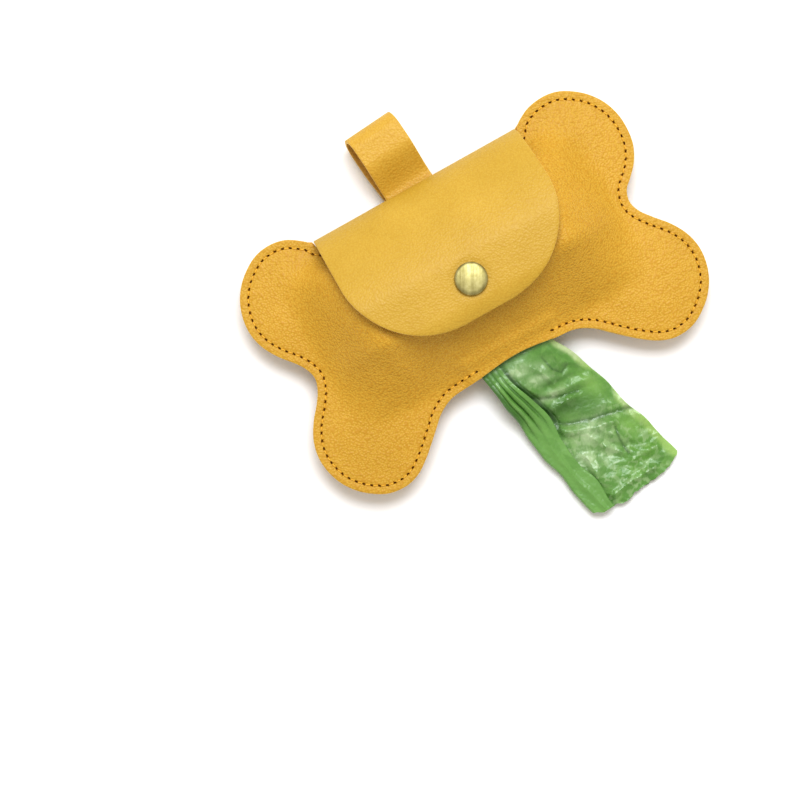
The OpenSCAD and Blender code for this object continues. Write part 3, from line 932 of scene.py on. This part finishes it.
def cap_on_flap(v):
    # z = 0 of the profile is the leather's outer face; the post starts below it
    out = v.copy()
    low = v[:, 2] < 0
    out[low, 2] -= LEATHER_T
    return out + np.array([0.0, 2.4, 26.8 + 2.35 + LEATHER_T])


cap = lathe("flap_cap", cap_profile, cap_on_flap, [BRASS])
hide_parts("flap_snap_cap")
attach(cap, "flap")


def cap_on_tail(v):
    out = v.copy()
    low = v[:, 2] < 0
    out[low, 2] -= LEATHER_T
    z = 1.7 - out[:, 2]
    return strap_to_part(out[:, 0], out[:, 1] + 28.5, z)


cap2 = lathe("strap_cap", cap_profile, cap_on_tail, [BRASS])
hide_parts("strap_snap_cap")
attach(cap2, "strap_end")


# --------------------------------------------------------------- bag roll
def film_roll():
    """The wound film: a slightly uneven roll with its outer edge showing."""
    na, nx = 220, 90
    w = np.arange(na) * 2 * math.pi / na
    verts, faces = [], []
    xs = np.linspace(-29.9, 29.9, nx)
    shell = []
    for x in xs:
        r = 11.32 - 0.25 * (w / (2 * math.pi))                 # one turn of the spiral
        r = r + 0.10 * np.sin(5 * w + 0.3 * x) + 0.06 * waves(np.full(na, x), w * 11, 5, 9)
        shell.append(np.column_stack([np.full(na, x), 3 + r * np.cos(w + 4.0), 13.1 + r * np.sin(w + 4.0)]))
    rings = [shell]
    rs = np.linspace(11.0, 6.05, 12)
    left, right = [], []
    for i, r in enumerate(rs):
        dx = 0.22 * math.sin(i * 2.6) + 0.1
        for store, x in ((left, -29.9 - dx * 0.3 + 0.1), (right, 29.9 + dx * 0.3 - 0.1)):
            store.append(np.column_stack([np.full(na, x), 3 + r * np.cos(w + 4.0), 13.1 + r * np.sin(w + 4.0)]))
    stack = left[::-1] + shell + right
    stack.append(np.column_stack([np.full(na, 29.5), 3 + 6.04 * np.cos(w + 4.0), 13.1 + 6.04 * np.sin(w + 4.0)]))
    stack.append(np.column_stack([np.full(na, -29.5), 3 + 6.04 * np.cos(w + 4.0), 13.1 + 6.04 * np.sin(w + 4.0)]))
    for ringv in stack:
        verts.extend(ringv)
    n = len(stack)
    for i in range(n):
        j = (i + 1) % n
        for k in range(na):
            k2 = (k + 1) % na
            faces.append((i * na + k, i * na + k2, j * na + k2, j * na + k))
    return make("roll_film", verts, faces, [ROLLED], sharp=50)


roll = film_roll()
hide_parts("bag_roll")
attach(roll, "roll")

# --------------------------------------------------------- the leading bag
BAG_O = np.array([1.6, -22.0])
BAG_D = np.array([math.sin(math.radians(17.3)), -math.cos(math.radians(17.3))])
BAG_E = np.array([math.cos(math.radians(17.3)), math.sin(math.radians(17.3))])
left_edge = spline([[-16, -11.6], [-4, -12.2], [0.5, -12.9], [8, -13.9], [15.7, -15.1], [27.8, -16.9],
                    [37.7, -18.0], [50.8, -19.4], [58, -19.5], [68, -19.6]], 8)
right_edge = spline([[-16, 11.0], [-4, 11.2], [4, 11.5], [8.9, 11.7], [17.9, 13.8], [29, 14.4],
                     [40, 13.8], [49.5, 13.9], [63, 13.6], [70, 13.6]], 8)
end_line = spline([[-20, 57.0], [-16, 59.6], [-8.8, 62.1], [0, 63.6], [8.2, 64.4], [13.5, 63.2], [16, 62.6]], 8)
base_line = spline([[-16, 8.15], [-4, 8.15], [4, 8.15], [7, 8.05], [12.6, 6.1], [19.4, 3.4],
                    [26, 1.55], [34, 0.7], [43, 0.35], [50, 0.3], [70, 0.3]], 8)
pleat_line = spline([[-16, 0.30], [0, 0.24], [8, 0.22], [18, 0.26], [26, 0.28], [34, 0.22],
                     [44, 0.19], [52, 0.22], [60, 0.16], [70, 0.14]], 8)
# Section keys: share of the width, height of the layer, how far it joins the
# creases, and which face of the fold it is.
SECTION = [
    ("main", 0.988, 1.15, 1.0), ("main", 0.12, 1.15, 1.0),
    ("inner", 0.12, 0.85, 0.7), ("inner", 0.80, 0.85, 0.7),
    ("lower", 0.80, 0.50, 0.45), ("lower", 0.0, 0.50, 0.45),
    ("pleat", 0.0, 1.85, 0.0), ("pleat", "p", 1.80, 0.0),
    ("under", "p", 1.48, 0.0), ("under", 0.05, 1.48, 0.0),
]
# Creases seen in the film: points in millimetres, height, half width.
CREASES = [
    ([[-2.2, -34.3], [3.5, -41.2], [8.7, -42.1], [9.1, -38.3], [8.6, -34.1]], 0.9, 2.4),
    ([[8.7, -42.1], [19.8, -43.5]], 0.9, 2.2),
    ([[0, -40.6], [7.3, -43.6], [14.3, -45.2]], -0.9, 1.8),
    ([[0, -42.3], [3.4, -46.5], [14, -45.7]], 0.8, 1.8),
    ([[1.7, -49.5], [5.5, -52.8], [13.7, -55.4], [19.3, -56.5], [24.3, -57.6], [28, -58.7]], -1.1, 2.6),
    ([[0.3, -51], [6, -55.9], [14, -58.7], [19.8, -59.6]], 1.0, 2.2),
    ([[9.9, -59.2], [13.5, -65.7]], 0.8, 1.7),
    ([[19.3, -61.6], [18.6, -65.8], [19, -71]], -0.8, 1.6),
    ([[13.5, -65.7], [18.2, -70.6], [24.7, -73]], 0.9, 1.7),
    ([[6.3, -65.6], [6.4, -71.4], [5.8, -74.4]], 0.8, 1.6),
    ([[18.7, -73.7], [28.3, -73.5]], 0.9, 1.8),
    ([[7.2, -80.6], [15, -79.4], [23.7, -79.2]], 0.9, 1.5),
    ([[2, -28], [6.5, -34], [8.5, -40]], 0.7, 1.5),
    ([[12.5, -29], [13.5, -34], [18, -37]], 0.7, 1.6),
    ([[9, -30], [10.2, -35], [12.4, -37.4], [15, -36]], -0.6, 1.3),
]


def crumple(x, y, seed, cell, angle=0.0, stretch=1.0):
    """Crumpled film: flat facets between random points, with sharp creases.

    Gives the height, between -1 and 1, and one number for each facet.
    """
    r = np.random.default_rng(seed)
    c, q = math.cos(angle), math.sin(angle)
    u = (x * c + y * q) / stretch
    v = -x * q + y * c
    gu = np.arange(u.min() - 2 * cell, u.max() + 2 * cell, cell)
    gv = np.arange(v.min() - 2 * cell, v.max() + 2 * cell, cell)
    pts = np.array([(a + r.uniform(-0.42, 0.42) * cell, b + r.uniform(-0.42, 0.42) * cell)
                    for a in gu for b in gv])
    high = r.uniform(-1, 1, len(pts))
    res = delaunay_2d_cdt([Vector(k) for k in pts], [], [], 0, 1e-6, True)
    pos = np.array([tuple(k) for k in res[0]])
    hz = high[[o[0] for o in res[3]]]
    shape, uf, vf = u.shape, u.ravel(), v.ravel()
    out, mark = np.zeros(len(uf)), np.zeros(len(uf))
    for f in res[2]:
        i, j, k = list(f)[:3]
        a, b, d = pos[i], pos[j], pos[k]
        lo = np.minimum(np.minimum(a, b), d)
        hi = np.maximum(np.maximum(a, b), d)
        m = np.nonzero((uf >= lo[0]) & (uf <= hi[0]) & (vf >= lo[1]) & (vf <= hi[1]))[0]
        value = r.uniform()
        if not len(m):
            continue
        det = (b[1] - d[1]) * (a[0] - d[0]) + (d[0] - b[0]) * (a[1] - d[1])
        if abs(det) < 1e-9:
            continue
        l1 = ((b[1] - d[1]) * (uf[m] - d[0]) + (d[0] - b[0]) * (vf[m] - d[1])) / det
        l2 = ((d[1] - a[1]) * (uf[m] - d[0]) + (a[0] - d[0]) * (vf[m] - d[1])) / det
        l3 = 1 - l1 - l2
        ok = (l1 > -1e-6) & (l2 > -1e-6) & (l3 > -1e-6)
        n = m[ok]
        out[n] = l1[ok] * hz[i] + l2[ok] * hz[j] + l3[ok] * hz[k]
        mark[n] = value
    return out.reshape(shape), mark.reshape(shape)


def crease_height(x, y):
    """Height from the creases, and how deep inside a valley a point lies."""
    p = np.column_stack([x.ravel(), y.ravel()])
    out, valley = np.zeros(len(p)), np.zeros(len(p))
    for line, height, half in CREASES:
        d = edge_distance(np.array(line, float), p, closed=False)
        near = np.clip(1 - d / half, 0, 1)
        out += height * near
        if height < 0:
            valley = np.maximum(valley, np.clip(1 - d / (0.45 * half), 0, 1))
    return out.reshape(x.shape), valley.reshape(x.shape)


def film_bag():
    rows, a0 = 190, -9.6
    # columns: walk the section's keys at an even pace
    cols = []
    for i in range(len(SECTION) - 1):
        k0, k1 = SECTION[i], SECTION[i + 1]
        f0 = 0.22 if k0[1] == "p" else k0[1]
        f1 = 0.22 if k1[1] == "p" else k1[1]
        span = abs(f1 - f0) * 32
        m = max(5, int(span / 0.4))
        for t in np.linspace(0, 1, m, endpoint=(i == len(SECTION) - 2)):
            cols.append((i, t))
    nc = len(cols)
    t_rows = np.linspace(0, 1, rows)
    F, H, W, P = (np.zeros((rows, nc)) for _ in range(4))
    top = np.zeros(nc)
    for j, (i, t) in enumerate(cols):
        k0, k1 = SECTION[i], SECTION[i + 1]
        a = a0 + (62 - a0) * t_rows
        pl = np.interp(a, pleat_line[:, 0], pleat_line[:, 1])
        f0 = pl if k0[1] == "p" else np.full(rows, k0[1])
        f1 = pl if k1[1] == "p" else np.full(rows, k1[1])
        turn = k0[0] != k1[0]
        if turn:                                       # round the fold
            w = t * math.pi
            mid_h, half_h = (k0[2] + k1[2]) / 2, (k1[2] - k0[2]) / 2
            f = f0 + (f1 - f0) * t
            sign = 1 if (k0[1] == "p" or (k0[1] != "p" and k0[1] > 0.5)) else -1
            f = f + sign * 0.018 * math.sin(w)
            h = mid_h - half_h * math.cos(w)
        else:
            f = f0 + (f1 - f0) * t
            h = k0[2] + (k1[2] - k0[2]) * t
        F[:, j] = f
        H[:, j] = h
        W[:, j] = k0[3] + (k1[3] - k0[3]) * t
        on_pleat = [1.0 if k in ("pleat", "under") else 0.0 for k in (k0[0], k1[0])]
        P[:, j] = on_pleat[0] + (on_pleat[1] - on_pleat[0]) * t
        top[j] = 1.0 if k0[0] == k1[0] == "main" else 0.0
    # the free edge at the right sinks towards what it lies on
    H = H - 0.8 * top * ease((F - 0.80) / 0.2)
    # two passes, so that the ragged end follows the width
    reach = np.full(nc, 62.0)
    for _ in range(2):
        A = a0 + (reach[None, :] - a0) * t_rows[:, None]
        lb = np.interp(A, left_edge[:, 0], left_edge[:, 1])
        rb = np.interp(A, right_edge[:, 0], right_edge[:, 1])
        B = lb + (rb - lb) * F
        reach = np.interp(B[-1], end_line[:, 0], end_line[:, 1])
    torn = 0.35 * waves(B[-1], 0 * B[-1], 91, 2.2) + 0.5 * waves(B[-1], H[-1] * 4, 92, 9)
    A = a0 + ((reach + torn)[None, :] - a0) * t_rows[:, None]
    free = ease((A - 5) / 10)
    # the long edges wander a little
    B = B + (0.45 * waves(A, 0 * A, 61, 14) * np.clip(1 - F * 5, 0, 1)
             + 0.55 * waves(A, 0 * A, 62, 11) * np.clip(F * 5 - 4, 0, 1)) * free
    X = BAG_O[0] + BAG_D[0] * A + BAG_E[0] * B
    Y = BAG_O[1] + BAG_D[1] * A + BAG_E[1] * B
    base = np.interp(A, base_line[:, 0], base_line[:, 1])
    height = 0.36 + 1.25 * free
    lengthwise = math.atan2(BAG_E[1], BAG_E[0])
    down = math.atan2(BAG_D[1], BAG_D[0])
    big, m1 = crumple(X, Y, 4, 6.5, down + 0.35, 1.5)
    mid, m2 = crumple(X, Y, 9, 3.1, down - 0.5, 1.3)
    fine, m3 = crumple(X, Y, 17, 1.5, down + 0.8, 1.2)
    calm = np.exp(-(((X - 17) / 7) ** 2 + ((Y + 50) / 5) ** 2))      # the smooth patch
    busy = (0.35 + 0.65 * ease((A - 30) / 8)) * (1 - 0.9 * calm)
    ridge, valley = crease_height(X, Y)
    D = 0.95 * big * (1 - 0.8 * calm) + 0.62 * mid * busy + 0.22 * fine * busy + 0.85 * ridge
    near_slot = 0.12 + 0.88 * ease((A - 4.5) / 8)
    D = np.clip(D, -1.25, 2.6) * near_slot
    # the pleat on top: soft lengthwise rolls
    fp = np.interp(A, pleat_line[:, 0], pleat_line[:, 1])
    g = np.clip(F / fp, 0, 1)
    fade = 1 - ease((A - 16) / 16)
    rolls = 0.75 * np.maximum(0, 1 - np.abs(g - 0.30) / 0.16) * fade
    rolls += 0.65 * np.maximum(0, 1 - np.abs(g - 0.66) / 0.14) * fade
    rolls += 0.55 * np.maximum(0, 1 - np.abs(g - 0.52 - 0.1 * np.sin(A / 9)) / 0.22) * (1 - fade)
    long, m4 = crumple(X, Y, 23, 3.4, down + 0.05, 3.2)
    rolls += 0.42 * long
    lines = sum(np.exp(-(((g - k) / 0.045) ** 2)) for k in (0.16, 0.47, 0.80)) * fade
    rolls -= 0.8 * lines
    pleat = (rolls + 0.35) * near_slot
    shade = np.clip(1 - (F - fp) / 0.05, 0, 1)                     # flatter under the pleat
    D = D * (1 - 0.75 * np.clip(shade, 0, 1) * (1 - P))
    # a deep crevice on the right of the pleat
    beside = F - fp
    gap = np.exp(-(((beside - 0.040) / 0.032) ** 2)) * (1 - ease((A - 26) / 9)) * (1 - P)
    D = D - 1.2 * gap * near_slot * top
    Z = base + H * height + (1 - P) * W * D + P * pleat
    # the end curls up a little, its left corner most
    tip = ease((A - 54) / 9)
    Z = Z + 0.7 * tip * (0.5 + 0.5 * waves(X, Y, 71, 10)) * (0.3 + 0.7 * H / 1.85)
    Z = np.maximum(Z, 0.12 + 0.05 * H)
    V = np.stack([X, Y, Z], axis=2)
    # offset both ways along the surface for the film's thickness
    du = np.gradient(V, axis=1)
    dv = np.gradient(V, axis=0)
    N = np.cross(du, dv)
    N /= np.linalg.norm(N, axis=2)[:, :, None] + 1e-9
    t = 0.025
    V1 = (V + N * t).reshape(-1, 3)
    V2 = (V - N * t).reshape(-1, 3)
    verts = np.vstack([V1, V2])
    m = rows * nc
    idx = np.arange(m).reshape(rows, nc)
    a, b = idx[:-1, :-1].ravel(), idx[:-1, 1:].ravel()
    c, d = idx[1:, 1:].ravel(), idx[1:, :-1].ravel()
    faces = list(zip(a, b, c, d)) + list(zip(a + m, d + m, c + m, b + m))
    border = np.concatenate([idx[0, :], idx[1:, -1], idx[-1, -2::-1], idx[-2:0:-1, 0]])
    nb = np.roll(border, -1)
    faces += list(zip(border, border + m, nb + m, nb))
    width = float(np.linalg.norm(np.diff(V[rows // 2], axis=0), axis=1).sum())
    ob = make("bag_film_strip", verts, faces, [FILM], sharp=24, join=False)
    # the film's colour: fewer layers make it lighter; painted shade, painted shadow and painted highlights are mixed
    # in below
    def mix(c, other, amount):
        amount = np.clip(amount, 0, 1)[..., None]
        return c * (1 - amount) + np.array(other) * amount

    def patch(f, a, sf, sa, lean=0.0):
        return np.exp(-(((F - f) / sf) ** 2 + ((A - a - lean * (F - f)) / sa) ** 2))

    flat = 1 - P
    tint = np.zeros((rows, nc, 3)) + np.array([0.15, 0.35, 0.07])
    # darker and lighter facets: partly painted shading and highlights of facets turned to and from the light, partly
    # uneven film
    tint = mix(tint, (0.085, 0.24, 0.035), flat * np.clip(1.6 * m1 - 0.8, 0, 0.9) * 0.6)
    tint = mix(tint, (0.30, 0.54, 0.15), flat * np.clip(1.5 * m2 - 0.65, 0, 0.8) * (0.3 + 0.3 * busy))
    # two darker patches across the middle of the film
    tint = mix(tint, (0.07, 0.19, 0.025), flat * patch(0.50, 27, 0.26, 3.0, 15))
    tint = mix(tint, (0.07, 0.19, 0.025), flat * 0.7 * patch(0.62, 18.5, 0.20, 0.9, 12))
    tint = mix(tint, (0.27, 0.50, 0.11), flat * 0.8 * np.maximum(patch(0.86, 27, 0.10, 5), patch(0.86, 46, 0.12, 5)))
    tint = mix(tint, (0.19, 0.42, 0.06), flat * 0.6 * patch(0.80, 56, 0.2, 4))
    # painted sheen: whitish patches standing in for the light's reflection on the creased film
    painted_sheen = np.maximum.reduce([
        0.80 * patch(0.38, 7, 0.17, 3.2, 8), 0.90 * patch(0.50, 14, 0.13, 2.0, 14),
        0.85 * patch(0.45, 20.5, 0.16, 1.4, 10), 0.95 * patch(0.50, 38, 0.17, 4.5, 6),
        0.75 * patch(0.30, 43, 0.12, 5.0), 0.55 * patch(0.48, 47, 0.14, 3.5),
        0.45 * patch(0.62, 12, 0.10, 3.0), 0.35 * patch(0.70, 36, 0.12, 3.0)])
    grainy = 0.35 + 0.65 * m3 + 0.5 * m2
    tint = mix(tint, (0.56, 0.70, 0.43), flat * painted_sheen * grainy)
    # painted glints: small facets made lighter as if catching the light
    painted_glints = np.clip(2.2 * m3 - 1.2, 0, 1) * 0.45 * busy * ease((A - 8) / 6)
    tint = mix(tint, (0.54, 0.68, 0.40), painted_glints * flat)
    tint = mix(tint, (0.23, 0.46, 0.12), P * (0.45 + 0.55 * m4))
    # painted shade in the grooves between the pleat's rolls
    tint = mix(tint, (0.05, 0.16, 0.025), P * 0.9 * np.clip(lines, 0, 1))
    # the pleat's outer strip near the slot is painted darker
    outer = fade * (1 - ease((g - 0.03) / 0.12)) * (1 - ease((A - 18) / 8))
    tint = mix(tint, (0.05, 0.15, 0.025), P * 0.85 * outer)
    wide = 0.885 + 0.06 * ease((A - 22) / 4) * (1 - ease((A - 33) / 5)) + 0.02 * waves(A, 0 * A, 33, 9)
    thin = top * ease((F - wide) / 0.07) * ease((A - 3) / 5)
    tint = mix(tint, (0.42, 0.62, 0.18), thin * 0.9)
    # painted highlight: whitish-yellow patches on the thin margin, over its lighter single layer
    painted_margin_highlight = np.maximum(patch(0.95, 15, 0.12, 5.5), 0.5 * patch(0.97, 40, 0.05, 5))
    tint = mix(tint, (0.76, 0.83, 0.56), thin * painted_margin_highlight * (0.6 + 0.4 * m3))
    # painted shade in the crevice beside the pleat and in the crease valleys
    deep = np.maximum(gap, 0.7 * valley * near_slot * flat)
    tint = mix(tint, (0.025, 0.09, 0.015), 0.9 * deep)
    # painted shadow of the slot: darker where the film comes out of the pouch
    tint = mix(tint, (0.10, 0.26, 0.045), 0.6 * (1 - ease((A - 2.5) / 4)))
    full = np.ones((2 * m, 4), np.float32)
    full[:m, :3] = full[m:, :3] = tint.reshape(-1, 3)
    layer = ob.data.color_attributes.new("tint", "FLOAT_COLOR", "POINT")
    layer.data.foreach_set("color", full.ravel())
    return ob, width


bag, bag_width = film_bag()
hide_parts("leading_bag")
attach(bag, "bag")

# ------------------------------------------------- floor, light and camera
floor_mat, _t, _b = material("pale_floor", (0.93, 0.93, 0.93), 0.9)
_b.inputs["Specular IOR Level"].default_value = 0.1
me = bpy.data.meshes.new("floor")
S = 3.0
me.from_pydata([(-S, -S, 0), (S, -S, 0), (S, S, 0), (-S, S, 0)], [], [(0, 1, 2, 3)])
me.materials.append(floor_mat)
floor = bpy.data.objects.new("floor", me)
bpy.context.scene.collection.objects.link(floor)

world = bpy.data.worlds.new("soft_light")
bpy.context.scene.world = world
world.use_nodes = True
world.node_tree.nodes["Background"].inputs["Color"].default_value = (1, 0.945, 0.875, 1)
world.node_tree.nodes["Background"].inputs["Strength"].default_value = 0.78


def softbox(name, place, aim, size, watts):
    data = bpy.data.lights.new(name, "AREA")
    data.shape = "RECTANGLE"
    data.size, data.size_y = size
    data.energy = watts
    data.color = (1, 1.04, 1.12)
    ob = bpy.data.objects.new(name, data)
    ob.location = place
    ob.rotation_euler = (Vector(aim) - Vector(place)).to_track_quat("-Z", "Y").to_euler()
    bpy.context.scene.collection.objects.link(ob)
    return ob


UP = Vector((0.489, 0.872, 0))                  # towards the picture's top
RIGHT = Vector((0.872, -0.489, 0))
softbox("key", UP * 0.34 + RIGHT * 0.0 + Vector((0, 0, 0.70)), (0, 0, 0.01), (0.5, 0.34), 5.0)

cam = bpy.data.cameras.new("camera")
cam.lens = 80
cam.sensor_width = 36
cam.clip_start = 0.01
cam_ob = bpy.data.objects.new("camera", cam)
cam_ob.location = (-0.0376, -0.0196, 0.5815)
cam_ob.rotation_euler = (0, 0, math.radians(-29.27))
bpy.context.scene.collection.objects.link(cam_ob)
bpy.context.scene.camera = cam_ob
bpy.context.scene.view_settings.view_transform = "Standard"
bpy.context.scene.view_settings.gamma = 0.85
